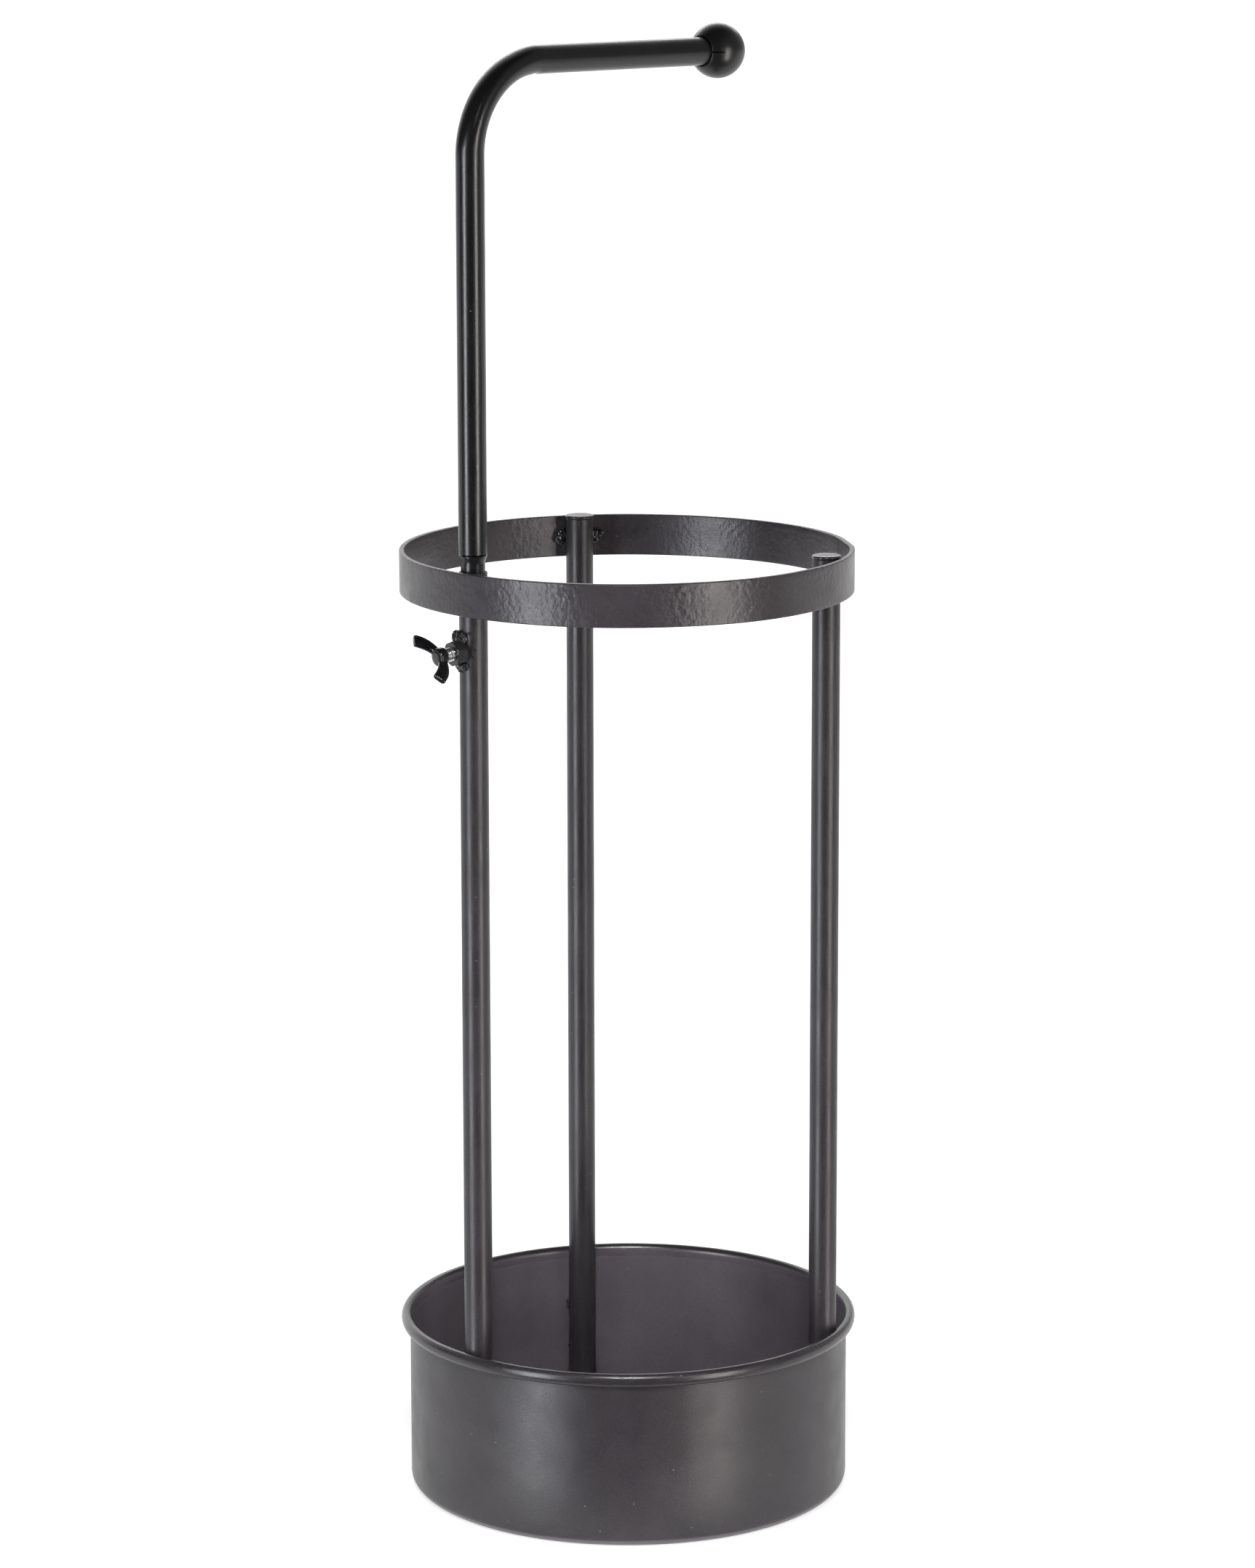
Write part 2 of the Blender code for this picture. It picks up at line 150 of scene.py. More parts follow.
def turned(name, profile, mat, steps, place=Matrix.Identity(4), closed=False, shift=None):
    """A profile of (radius, height) turned about the place's Z; shift(angle, r, z) may move a point."""
    rings = []
    for r, z in profile:
        ring = []
        for i in range(steps):
            angle = TAU * i / steps
            rr, zz = shift(angle, r, z) if shift else (r, z)
            rr = max(rr, AXIS_GAP)
            ring.append(place @ Vector((rr * math.cos(angle), rr * math.sin(angle), zz)))
        rings.append(ring)
    return mesh_object(name, *skin(rings, closed), mat)


def arc(centre, radius, start, sweep, steps):
    """Points along an arc given in degrees, both ends included; negative sweeps run clockwise."""
    angles = [math.radians(start + sweep * i / steps) for i in range(steps + 1)]
    return [(centre[0] + radius * math.cos(a), centre[1] + radius * math.sin(a)) for a in angles]


def frame_at(place, bearing):
    """X along the bearing, Y to its left, Z up."""
    return Matrix.Translation(place) @ Matrix.Rotation(bearing, 4, "Z")


def screw_frame(turn=0.0):
    """Z out along the screw from the socket post's axis, X level, Y up, turned about Z."""
    across = Vector((0, 0, 1)).cross(SCREW_AXIS).normalized()
    up = SCREW_AXIS.cross(across)
    place = Matrix((across, up, SCREW_AXIS)).transposed().to_4x4()
    return Matrix.Translation(SCREW_SEAT - SCREW_AXIS * HEAD_BASE) @ place @ Matrix.Rotation(turn, 4, "Z")


def smooth_step(value):
    value = min(max(value, 0.0), 1.0)
    return value * value * (3 - 2 * value)


def install(piece, body, slot, *nodes):
    """Ties a piece to its body and hides the CAD nodes it stands in for; slot is not used."""
    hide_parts(*nodes)
    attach(piece, body)
    return piece


def joined(name, parts, mat):
    """One object from several (verts, faces) pairs."""
    verts, faces = [], []
    for part_verts, part_faces in parts:
        base = len(verts)
        verts += part_verts
        faces += [tuple(base + i for i in face) for face in part_faces]
    return mesh_object(name, verts, faces, mat)


# ---------------------------------------------------------------- materials


class Nodes:
    """A small node-tree writer: every call adds a node and returns its output."""

    def __init__(self, name):
        self.mat = bpy.data.materials.new(name)
        self.mat.use_nodes = True
        self.tree = self.mat.node_tree
        self.shader = self.tree.nodes["Principled BSDF"]
        self.place = self.add("ShaderNodeTexCoord").outputs["Object"]

    def add(self, kind, **settings):
        node = self.tree.nodes.new(kind)
        for key, value in settings.items():
            setattr(node, key, value)
        return node

    def put(self, socket, value):
        if isinstance(value, bpy.types.NodeSocket):
            self.tree.links.new(value, socket)
        else:
            socket.default_value = value

    def noise(self, scale, detail=2.0, roughness=0.5):
        node = self.add("ShaderNodeTexNoise")
        node.inputs["Scale"].default_value = scale
        node.inputs["Detail"].default_value = detail
        node.inputs["Roughness"].default_value = roughness
        self.put(node.inputs["Vector"], self.place)
        return node.outputs["Fac"]

    def cells(self, scale):
        node = self.add("ShaderNodeTexVoronoi")
        node.inputs["Scale"].default_value = scale
        self.put(node.inputs["Vector"], self.place)
        return node.outputs["Distance"]

    def math(self, operation, first, second=0.0):
        node = self.add("ShaderNodeMath", operation=operation)
        self.put(node.inputs[0], first)
        self.put(node.inputs[1], second)
        return node.outputs[0]

    def span(self, value, low, high, to_low, to_high):
        node = self.add("ShaderNodeMapRange")
        for socket, number in zip(node.inputs, (value, low, high, to_low, to_high)):
            self.put(socket, number)
        return node.outputs["Result"]

    def tint(self, value, dark, light):
        """Mix of two colours, each a triple or another node's output."""
        node = self.add("ShaderNodeMix", data_type="RGBA")
        self.put(node.inputs["Factor"], value)
        for socket, colour in zip(("A", "B"), (dark, light)):
            self.put(node.inputs[socket], (*colour, 1) if isinstance(colour, tuple) else colour)
        return node.outputs["Result"]

    def bump(self, height, distance):
        node = self.add("ShaderNodeBump")
        node.inputs["Strength"].default_value = 1.0
        node.inputs["Distance"].default_value = distance
        self.put(node.inputs["Height"], height)
        self.put(self.shader.inputs["Normal"], node.outputs["Normal"])


def paint(name, colour, roughness, grain, peel=0.0, spread=0.05, inside=0.0):
    """Sprayed paint: cloudy tone, fine grain, a few pale dust specks, optional orange peel.

    inside is for the pan: that many times paler inside its wall, a painted light standing in for the light
    the lamps leave out in there, and glossier on the curl of its rim. inside is for the pan: that many
    times paler within its wall, to match the photo's tone there, and glossier on the curl of its rim.
    """
    n = Nodes(name)
    clouds = n.noise(28.0, 3.0)
    fine = n.noise(1500.0, 2.0, 0.6)
    shade = n.math("ADD", n.math("MULTIPLY", clouds, 0.4), n.math("MULTIPLY", fine, 0.6))
    dark = tuple(c * 0.45 for c in colour)
    light = tuple(c * 1.55 for c in colour)
    body = n.tint(n.span(shade, 0.3, 0.7, 0.0, 1.0), dark, light)
    # Painted light: the pan's inside gets paler paint in place of the light that falls short there
    if inside:
        apart = n.add("ShaderNodeSeparateXYZ")
        n.put(apart.inputs[0], n.place)
        square = n.math("ADD", n.math("POWER", apart.outputs[0], 2.0), n.math("POWER", apart.outputs[1], 2.0))
        painted_light_mask = n.span(n.math("SQRT", square), PAN_R - 0.0009, PAN_R - 0.0004, 1.0, 0.0)
        pale = [tuple(c * inside * share for c in colour) for share in (0.7, 1.3)]
        painted_lit_inside = n.tint(n.span(shade, 0.3, 0.7, 0.0, 1.0), *pale)
        body = n.tint(painted_light_mask, body, painted_lit_inside)
    specks, dust = n.span(n.cells(95.0), 0.030, 0.055, 1.0, 0.0), (0.22, 0.21, 0.21)
    n.put(n.shader.inputs["Base Color"], n.tint(n.math("MULTIPLY", specks, 0.5), body, dust))
    rough = n.span(n.noise(60.0, 2.0), 0.3, 0.7, roughness - spread, roughness + spread)
    if inside:
        on_curl = n.span(apart.outputs[2], PAN_TOP - 0.0080, PAN_TOP - 0.0065, 1.0, 0.62)
        rough = n.math("MULTIPLY", rough, on_curl)
    n.put(n.shader.inputs["Roughness"], rough)
    height = n.math("MULTIPLY", fine, grain)
    if peel:
        waves = n.noise(330.0, 1.5, 0.45)
        patches = n.span(n.noise(22.0, 1.0), 0.35, 0.65, 0.45, 1.0)
        height = n.math("ADD", height, n.math("MULTIPLY", n.math("MULTIPLY", waves, patches), peel))
    n.bump(height, 0.0001)
    return n.mat


def zinc():
    """Bright plating with fine marks that vary its tone, gloss and relief."""
    n = Nodes("zinc_plating")
    marks = n.noise(900.0, 3.0)
    n.put(n.shader.inputs["Base Color"], n.tint(marks, (0.66, 0.66, 0.65), (0.95, 0.95, 0.93)))
    n.put(n.shader.inputs["Roughness"], n.span(marks, 0.3, 0.7, 0.18, 0.34))
    n.shader.inputs["Metallic"].default_value = 1.0
    n.bump(marks, 0.00004)
    return n.mat


def plastic(name, colour, roughness, grain, spread):
    """Moulded plastic: fine texture and faint rubbed patches."""
    n = Nodes(name)
    rubbed = n.noise(90.0, 3.0)
    fine = n.noise(2400.0, 2.0, 0.6)
    dark = tuple(c * 0.75 for c in colour)
    light = tuple(c * 1.25 for c in colour)
    n.put(n.shader.inputs["Base Color"], n.tint(rubbed, dark, light))
    n.put(n.shader.inputs["Roughness"], n.span(rubbed, 0.3, 0.7, roughness - spread, roughness + spread))
    n.bump(n.math("MULTIPLY", fine, grain), 0.0001)
    return n.mat


def floor_paper():
    """Table paper that glows enough to show white, a little less close to the stand."""
    n = Nodes("studio_paper")
    fibres = n.noise(300.0, 3.0)
    n.put(n.shader.inputs["Base Color"], n.tint(fibres, (0.50, 0.50, 0.50), (0.54, 0.54, 0.54)))
    away = n.add("ShaderNodeVectorMath", operation="LENGTH")
    n.put(away.inputs[0], n.place)
    n.put(n.shader.inputs["Emission Strength"], n.span(away.outputs["Value"], 0.15, 1.2, 0.68, 1.0))
    n.shader.inputs["Roughness"].default_value = 0.9
    n.shader.inputs["Specular IOR Level"].default_value = 0.1
    n.shader.inputs["Emission Color"].default_value = (1, 1, 1, 1)
    return n.mat


CHARCOAL = paint("charcoal_powder_coat", (0.026, 0.0228, 0.026), 0.38, grain=0.9)
# inside=3.6 paints the pan's inside 3.6 times paler: painted light, not a different paint
PAN_PAINT = paint("charcoal_pan", (0.028, 0.0245, 0.028), 0.38, grain=0.9, inside=3.6)
HOOP_PAINT = paint("charcoal_orange_peel", (0.043, 0.0375, 0.0425), 0.33, grain=0.9, peel=3.8)
WELD_PAINT = paint("charcoal_over_weld", (0.020, 0.019, 0.020), 0.20, grain=0.6, peel=1.0)
CAP_PAINT = paint("charcoal_cap", (0.030, 0.028, 0.030), 0.17, grain=0.3)
HANDLE_PAINT = paint("satin_black_paint", (0.009, 0.0085, 0.0095), 0.26, grain=0.5, spread=0.03)
BALL_PLASTIC = plastic("matte_black_plastic", (0.014, 0.013, 0.014), 0.32, 0.30, 0.03)
HEAD_GLOSS = plastic("gloss_black", (0.008, 0.008, 0.009), 0.16, 0.10, 0.04)
ZINC = zinc()

# ---------------------------------------------------------------- camera, floor and lights


def make_camera():
    """The photograph's view: a metre up, three metres back and pitched down 11.5 degrees."""
    distance, height = 3.0190, 1.0325
    pitch, roll, yaw = 0.201, 0.0018, -0.0004
    data = bpy.data.cameras.new("camera")
    data.lens = 122.78
    data.sensor_width = 36.0
    camera = bpy.data.objects.new("camera", data)
    camera.location = (0.0, -distance, height)
    camera.rotation_euler = (math.pi / 2 - pitch, roll, yaw)
    bpy.context.scene.collection.objects.link(camera)
    bpy.context.scene.camera = camera


def make_floor():
    """A pale lit table that starts just below the view and runs back past its top."""
    side, front, back, height = 14.0, -0.18, 26.0, -0.0002
    sheet = [(-side, front, height), (side, front, height), (side, back, height), (-side, back, height)]
    floor = mesh_object("studio_floor", sheet, [(0, 1, 2, 3)], floor_paper())


def softbox(name, bearing, distance, height, size, power, colour=(1.0, 1.0, 1.0), aim=0.45, spread=180.0):
    """A rectangular lamp aimed at a height on the stand's axis, its light fanning out by spread.

    Bearing 0 is the camera's side, positive to the right; both angles are in degrees.
    """
    data = bpy.data.lights.new(name, "AREA")
    data.shape = "RECTANGLE"
    data.size, data.size_y = size
    data.energy = power
    data.color = colour
    data.spread = math.radians(spread)
    lamp = bpy.data.objects.new(name, data)
    angle = math.radians(bearing)
    lamp.location = (distance * math.sin(angle), -distance * math.cos(angle), height)
    lamp.rotation_euler = (Vector((0, 0, aim)) - lamp.location).to_track_quat("-Z", "Y").to_euler()
    bpy.context.scene.collection.objects.link(lamp)


def make_studio():
    """Tall narrow lamps left and right, a narrow beam into the pan, a strip and a white backdrop behind."""
    softbox("left_softbox", -47, 2.6, 0.10, (0.50, 2.2), 54.0, (0.93, 0.96, 1.0), aim=0.10)
    softbox("right_softbox", 45, 2.6, 0.10, (0.60, 2.2), 42.0, (1.0, 0.95, 0.92), aim=0.10)
    softbox("pan_beam", 0, 2.0, 1.75, (0.40, 0.40), 0.85, aim=0.08, spread=22.0)
    softbox("back_strip", 180, 3.0, 2.1, (3.4, 0.6), 22.0)
    world = bpy.data.worlds.new("studio")
    bpy.context.scene.world = world
    world.use_nodes = True
    tree = world.node_tree
    backdrop = tree.nodes["Background"]
    direction = tree.nodes.new("ShaderNodeTexCoord").outputs["Generated"]
    split = tree.nodes.new("ShaderNodeSeparateXYZ")
    tree.links.new(direction, split.inputs[0])
    glow = tree.nodes.new("ShaderNodeMath")
    glow.operation = "MULTIPLY_ADD"
    # The backdrop's depth, times its balance from left to right, plus a dim wall on the right
    terms = (("Y", "SMOOTHSTEP", 0.25, 0.85, 0.03, 1.35),
             ("X", "LINEAR", -0.6, 0.6, 1.15, 0.30),
             ("X", "SMOOTHSTEP", 0.3, 0.8, 0.0, 0.22))
    for slot, (axis, easing, *numbers) in enumerate(terms):
        term = tree.nodes.new("ShaderNodeMapRange")
        term.interpolation_type = easing
        for socket, number in zip(term.inputs[1:5], numbers):
            socket.default_value = number
        tree.links.new(split.outputs[axis], term.inputs[0])
        tree.links.new(term.outputs[0], glow.inputs[slot])
    tree.links.new(glow.outputs[0], backdrop.inputs["Strength"])
    backdrop.inputs["Color"].default_value = (1, 1, 1, 1)
    plain = tree.nodes.new("ShaderNodeBackground")
    plain.inputs["Color"].default_value = (1, 1, 1, 1)
    seen = tree.nodes.new("ShaderNodeLightPath").outputs["Is Camera Ray"]
    mix = tree.nodes.new("ShaderNodeMixShader")
    tree.links.new(seen, mix.inputs[0])
    tree.links.new(backdrop.outputs[0], mix.inputs[1])
    tree.links.new(plain.outputs[0], mix.inputs[2])
    tree.links.new(mix.outputs[0], tree.nodes["World Output"].inputs["Surface"])
    bpy.context.scene.view_settings.view_transform = "Standard"


# ---------------------------------------------------------------- drip pan and hoop


def make_pan():
    """Pressed pan: floor, rounded corner, slightly uneven wall and an open curl round the rim."""
    inner = PAN_R - PAN_SHEET
    corner = (PAN_R - PAN_CORNER, PAN_CORNER)
    curl = (inner + CURL_R, PAN_TOP - CURL_R * CURL_STRETCH)
    wall_low, wall_high = PAN_CORNER, curl[1]
    heights = [wall_low + (wall_high - wall_low) * i / 14 for i in range(1, 14)]
    profile = [(r * PAN_R, PAN_SHEET) for r in (0.0, 0.3, 0.6, 0.85)]
    profile += arc(corner, PAN_CORNER - PAN_SHEET, -90, 90, 6)
    profile += [(inner, z) for z in heights]
    rolled = arc(curl, CURL_R, 180, -CURL_SWEEP, 34)
    rolled += arc(curl, CURL_R - PAN_SHEET, 180 - CURL_SWEEP, CURL_SWEEP, 26)
    profile += [(r, curl[1] + (z - curl[1]) * CURL_STRETCH) for r, z in rolled]
    profile += [(PAN_R, z) for z in reversed(heights)]
    profile += arc(corner, PAN_CORNER, 0, -90, 8)
    profile += [(r * PAN_R, 0.0) for r in (0.85, 0.6, 0.3, 0.0)]

    def uneven(angle, r, z):
        """Puts the wall and the rim up to about a fifth of a millimetre out of round."""
        sway = noise.noise(Vector((math.cos(angle) * 1.3, math.sin(angle) * 1.3, z * 9.0)))
        return r + (0.00018 * sway if r > 0.1 else 0.0), z

    pan = turned("drip_pan_shell", profile, PAN_PAINT, 360, shift=uneven)
    install(pan, "root", "charcoal_powder_coat", "drip_pan")


def hoop_flat(angle):
    """How far the hoop falls inside its circle beside the seam, where the bar's end stays straight."""
    half = math.radians(7.0)
    off = abs((angle - HOOP_SEAM - half + math.pi) % TAU - math.pi)
    if off >= half:
        return 0.0
    return HOOP_R * (1 - math.cos(half) / math.cos(off)) * 0.8


def make_hoop():
    """Flat bar rolled into a hoop, edges slightly rounded, a straight stretch beside its seam."""
    inner = HOOP_R - HOOP_BAR
    edge = HOOP_EDGE
    profile = arc((HOOP_R - edge, HOOP_TOP - edge), edge, 90, -90, 5)
    profile += [(HOOP_R, HOOP_TOP - edge - (HOOP_TOP - HOOP_FOOT - 2 * edge) * i / 8) for i in range(1, 8)]
    profile += arc((HOOP_R - edge, HOOP_FOOT + edge), edge, 0, -90, 5)
    profile += arc((inner + edge, HOOP_FOOT + edge), edge, -90, -90, 5)
    profile += [(inner, HOOP_FOOT + edge + (HOOP_TOP - HOOP_FOOT - 2 * edge) * i / 8) for i in range(1, 8)]
    profile += arc((inner + edge, HOOP_TOP - edge), edge, 180, -90, 5)

    def rolled(angle, r, z):
        sway = noise.noise(Vector((math.cos(angle) * 2, math.sin(angle) * 2, 0.3)))
        lift = noise.noise(Vector((math.cos(angle) * 1.5, math.sin(angle) * 1.5, 7.3)))
        return r - hoop_flat(angle) + 0.0003 * sway, z + 0.00025 * lift

    hoop = turned("hoop_band", profile, HOOP_PAINT, 540, closed=True, shift=rolled)
    install(hoop, "root", "charcoal_powder_coat", "ring_band")


def make_seam_weld():
    """Ground-down bead at the hoop's butt joint: a slightly proud rounded stripe."""
    rings = []
    steps, half_width, proud = 26, 0.0017, 0.00025
    for i in range(steps + 1):
        z = HOOP_FOOT + 0.0004 + (HOOP_TOP - HOOP_FOOT - 0.0012) * i / steps
        ring = []
        for j in range(24):
            a = TAU * j / 24
            wobble = 1 + 0.12 * noise.noise(Vector((math.cos(a), math.sin(a), z * 300)))
            across = half_width * math.sin(a) * wobble
            out = HOOP_R - HOOP_BAR / 2 + (HOOP_BAR / 2 + proud) * math.cos(a) * wobble
            ring.append(Matrix.Rotation(HOOP_SEAM, 3, "Z") @ Vector((out, across, z)))
        rings.append(ring)
    weld = mesh_object("hoop_seam_weld", *skin(rings), HOOP_PAINT)
    install(weld, "root", "charcoal_powder_coat", "ring_seam_weld")


# ---------------------------------------------------------------- posts and caps


def make_post(name):
    """Round tube, open at both ends, its mouth slightly rounded by the cut and the paint."""
    inner = TUBE_R - TUBE_WALL
    lip = TUBE_WALL / 2
    profile = [(TUBE_R, POST_FOOT + (POST_TOP - lip - POST_FOOT) * i / 24) for i in range(25)]
    profile += arc((TUBE_R - lip, POST_TOP - lip), lip, 15, 150, 8)
    profile += [(inner, POST_TOP - lip), (inner, POST_FOOT)]

    def drawn(angle, r, z):
        return r + 0.00004 * noise.noise(Vector((math.cos(angle), math.sin(angle), z * 14))), z

    place = Matrix.Translation(POSTS[name])
    post = turned(name + "_post_tube", profile, CHARCOAL, 96, place, closed=True, shift=drawn)
    install(post, "root", "charcoal_powder_coat", name + "_post")


def make_cap(name):
    """Pressed plug: a low dome with a rolled edge that overhangs the tube by half a millimetre."""
    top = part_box(name + "_post_cap")[1][2]
    radius = TUBE_R + 0.00045
    dome, edge, depth = 0.0004, 0.0009, 0.006
    plug = TUBE_R - TUBE_WALL - FIT_GAP
    profile = [(radius * 0.98 * i / 6, top - dome * (i / 6) ** 2) for i in range(6)]
    profile += arc((radius - edge, top - dome - edge), edge, 80, -165, 10)
    profile += [(TUBE_R - 0.0005, CAP_BASE - 0.0001), (plug, CAP_BASE - 0.0002), (plug, CAP_BASE - depth)]
    profile += [(0.0, CAP_BASE - depth)]
    cap = turned(name + "_cap", profile, CAP_PAINT, 96, Matrix.Translation(POSTS[name]))
    install(cap, "root", "charcoal_powder_coat", name + "_post_cap")


# ---------------------------------------------------------------- welds


def lump(place, half, ripples=0.0, seed=0.0, rough=0.18, rings=26, segments=36):
    """Verts and faces of a weld bead: an ellipsoid with ripples along X and a lumpy skin."""
    sections = []
    for i in range(rings + 1):
        polar = math.pi * (i + 0.02) / (rings + 0.04)
        ring = []
        for j in range(segments):
            a = TAU * j / segments
            x, y, z = math.cos(polar), math.sin(polar) * math.cos(a), math.sin(polar) * math.sin(a)
            wave = 1 + rough * noise.noise(Vector((x * 1.7 + seed, y * 1.7, z * 1.7 - seed)))
            if ripples:
                wave *= 1 + 0.10 * math.cos(ripples * math.pi * x)
            ring.append(place @ Vector((x * half[0] * wave, y * half[1] * wave, z * half[2] * wave)))
        sections.append(ring)
    return skin(sections)


def spatter(place, spots):
    """Small droplets: each is (x, y, z, radius) in the place's own axes."""
    drops = []
    for i, (x, y, z, radius) in enumerate(spots):
        at = place @ Matrix.Translation((x, y, z))
        drops.append(lump(at, (radius, radius, radius * 0.6), seed=i * 3.1, rough=0.3, rings=8, segments=12))
    return drops


def make_hoop_welds():
    """Beads in the crevices between each post and the hoop's inner face."""
    height = (HOOP_TOP + HOOP_FOOT) / 2 + 0.0012
    beside, inset = 0.0088, 0.0020
    radius = HOOP_R - HOOP_BAR - inset
    for name, bearing in BEARINGS.items():
        for side, sign in (("left", 1), ("right", -1)):
            swing = bearing + sign * beside / HOOP_R
            place = frame_at((radius * math.cos(swing), radius * math.sin(swing), height), swing)
            seed = bearing * 5 + sign
            along = place @ Matrix.Rotation(math.pi / 2, 4, "Z")
            half = (0.0048, 0.0026, 0.0036) if side == "left" else (0.0072, 0.0026, 0.0034)
            lower = along @ Matrix.Translation((sign * 0.0022, 0.0006, -0.0026))
            parts = [lump(along, half, 5.0, seed), lump(lower, (0.0030, 0.0022, 0.0030), 0.0, seed + 2)]
            spots = [(sign * -0.008, -0.0022, 0.002, 0.0007), (sign * -0.0105, -0.0022, -0.003, 0.0005),
                     (sign * -0.007, -0.0022, -0.006, 0.0006), (sign * -0.0095, -0.0022, 0.006, 0.0004)]
            parts += spatter(along, spots)
            weld = joined(f"{name}_hoop_weld_{side}", parts, WELD_PAINT)
            install(weld, "root", "charcoal_powder_coat", f"{name}_ring_weld_{side}")


def make_pan_welds():
    """Small tacks between each post and the pan's wall."""
    beside, inset = 0.0062, 0.0014
    radius = PAN_R - PAN_SHEET - inset
    for name, bearing in BEARINGS.items():
        swing = bearing + beside / PAN_R
        for level, size in (("upper", 1.0), ("lower", 0.55)):
            height = box_centre(f"{name}_pan_weld_{level}").z
            place = frame_at((radius * math.cos(swing), radius * math.sin(swing), height), swing)
            seed = bearing + height * 40
            parts = [lump(place, (0.0020 * size, 0.0021 * size, 0.0022 * size), 0.0, seed, 0.4)]
            if level == "upper":
                for offset in ((0.0, 0.0012, -0.0024), (0.0, -0.0014, 0.0022)):
                    nub = place @ Matrix.Translation(offset)
                    parts.append(lump(nub, (0.0012, 0.0011, 0.0011), 0.0, seed + 1))
            weld = joined(f"{name}_pan_tack_{level}", parts, WELD_PAINT)
            install(weld, "root", "charcoal_powder_coat", f"{name}_pan_weld_{level}")


# ---------------------------------------------------------------- nut, screw and its welds


def make_nut():
    """Hexagon nut with the round chamfers of a turned blank, painted with the post."""
    seat = screw_frame(NUT_TURN)
    chamfer_r = NUT_FLATS / 2 * 1.02
    corner_r = NUT_FLATS / math.sqrt(3) - 0.0003
    steps = 144
    heights = [0.0, 0.0002, 0.0005, 0.0009, 0.0014, 0.0032, 0.0050, 0.0055, 0.0059, 0.0062, NUT_THICK]
    rings = []
    for h in [0.0] + heights + [NUT_THICK]:
        ring = []
        for i in range(steps):
            a = TAU * i / steps
            flat = NUT_FLATS / 2 / math.cos((a + math.pi / 6) % (math.pi / 3) - math.pi / 6)
            chamfer = chamfer_r + min(h, NUT_THICK - h) * 1.8
            ring.append((min(flat, corner_r, chamfer), a, h))
        rings.append(ring)
    inner = STUD_R + 0.0002
    rings[0] = [(inner, a, h) for _, a, h in rings[0]]
    rings[-1] = [(inner, a, h) for _, a, h in rings[-1]]
    points = []
    for ring in rings:
        points.append([seat @ Vector((r * math.cos(a), r * math.sin(a), NUT_BASE + h)) for r, a, h in ring])
    nut = mesh_object("screw_nut", *skin(points, closed=True), WELD_PAINT, crease=28.0)
    install(nut, "root", "charcoal_powder_coat", "weld_nut")


def make_nut_welds():
    """Lumpy beads above and below the nut, with spatter on the post beside them."""
    screw = screw_frame()

    def bead(x, y, out, half, ripples, seed, rough):
        at = screw @ Matrix.Translation((x, y, TUBE_R + out))
        return lump(at, half, ripples, seed, rough)

    upper = [bead(0, 0.0080, 0.0008, (0.0048, 0.0034, 0.0030), 2.6, 1.7, 0.35),
             bead(-0.0030, 0.0098, 0.0006, (0.0022, 0.0024, 0.0022), 0.0, 4.0, 0.4)]
    upper += spatter(screw, [(0.0052, 0.0105, 0.0062, 0.0008), (0.0064, 0.0060, 0.0050, 0.0007),
                             (0.0070, 0.0010, 0.0042, 0.0006), (0.0060, -0.0030, 0.0055, 0.0006)])
    lower = [bead(0, -0.0080, 0.0008, (0.0042, 0.0034, 0.0028), 2.2, 7.7, 0.35)]
    lower += spatter(screw, [(0.0050, -0.0098, 0.0062, 0.0007), (-0.0040, -0.0120, 0.0070, 0.0006)])
    for label, parts in (("upper", upper), ("lower", lower)):
        weld = joined("nut_bead_" + label, parts, WELD_PAINT)
        install(weld, "root", "charcoal_powder_coat", "nut_weld_" + label)


def make_stud():
    """Threaded shank. It turns with the head, as the real screw does."""
    start, end = 0.0072, HEAD_BASE + 0.0038
    depth = 0.00062
    steps, rows = 72, 150
    screw = screw_frame()
    rings = []
    for i in range(rows + 1):
        z = start + (end - start) * i / rows
        ring = []
        for j in range(steps):
            a = TAU * j / steps
            phase = (z / THREAD_PITCH - a / TAU) % 1.0
            crest = min(max(abs(phase - 0.5) * 2.6 - 0.25, 0.0), 1.0)
            runout = smooth_step((z - start) / 0.0012)
            r = STUD_R - 0.00005 - depth * crest - 0.0006 * (1 - runout)
            ring.append(screw @ Vector((r * math.cos(a), r * math.sin(a), z)))
        rings.append(ring)
    stud = mesh_object("screw_thread", *skin(rings), ZINC, crease=50.0)
    install(stud, "screw_head", "zinc_plating", "wing_screw_stud")


def ear_sections(mirror):
    """Rings of one ear: a rounded bar that grows from the boss, sweeps out and ends in a flat tip."""
    (root_x, root_z), (tip_x, tip_z) = (0.0026, 0.0028), (0.0143, 0.0122)
    chord = math.hypot(tip_x - root_x, tip_z - root_z)
    heading = math.atan2(tip_z - root_z, tip_x - root_x)
    half_turn = math.radians(63.0) - heading
    radius = chord / (2 * math.sin(half_turn))
    first = heading - half_turn - math.pi / 2
    centre = (root_x - radius * math.cos(first), root_z - radius * math.sin(first))
    rings = []
    steps, power = 28, 0.55    # a power under 1 squares the bar's section
    for i in range(steps + 1):
        share = i / steps
        a = first + 2 * half_turn * share
        middle = (centre[0] + radius * math.cos(a), centre[1] + radius * math.sin(a))
        wide = 0.0025 + 0.0013 * smooth_step(share * 1.3)
        thick = 0.0019 - 0.0002 * smooth_step(share * 1.2)
        if share > 0.93:
            trim = (share - 0.93) / 0.07
            wide *= 1 - 0.14 * trim ** 2
            thick *= 1 - 0.22 * trim ** 2
        ring = []
        for j in range(28):
            b = TAU * j / 28
            cos_b, sin_b = math.cos(b), math.sin(b)
            u = math.copysign(abs(cos_b) ** power, cos_b) * wide
            v = math.copysign(abs(sin_b) ** power, sin_b) * thick
            x = middle[0] + u * math.cos(a)
            z = middle[1] + u * math.sin(a)
            ring.append(Vector((mirror * x, mirror * v, HEAD_BASE + z)))
        rings.append(ring)
    return rings


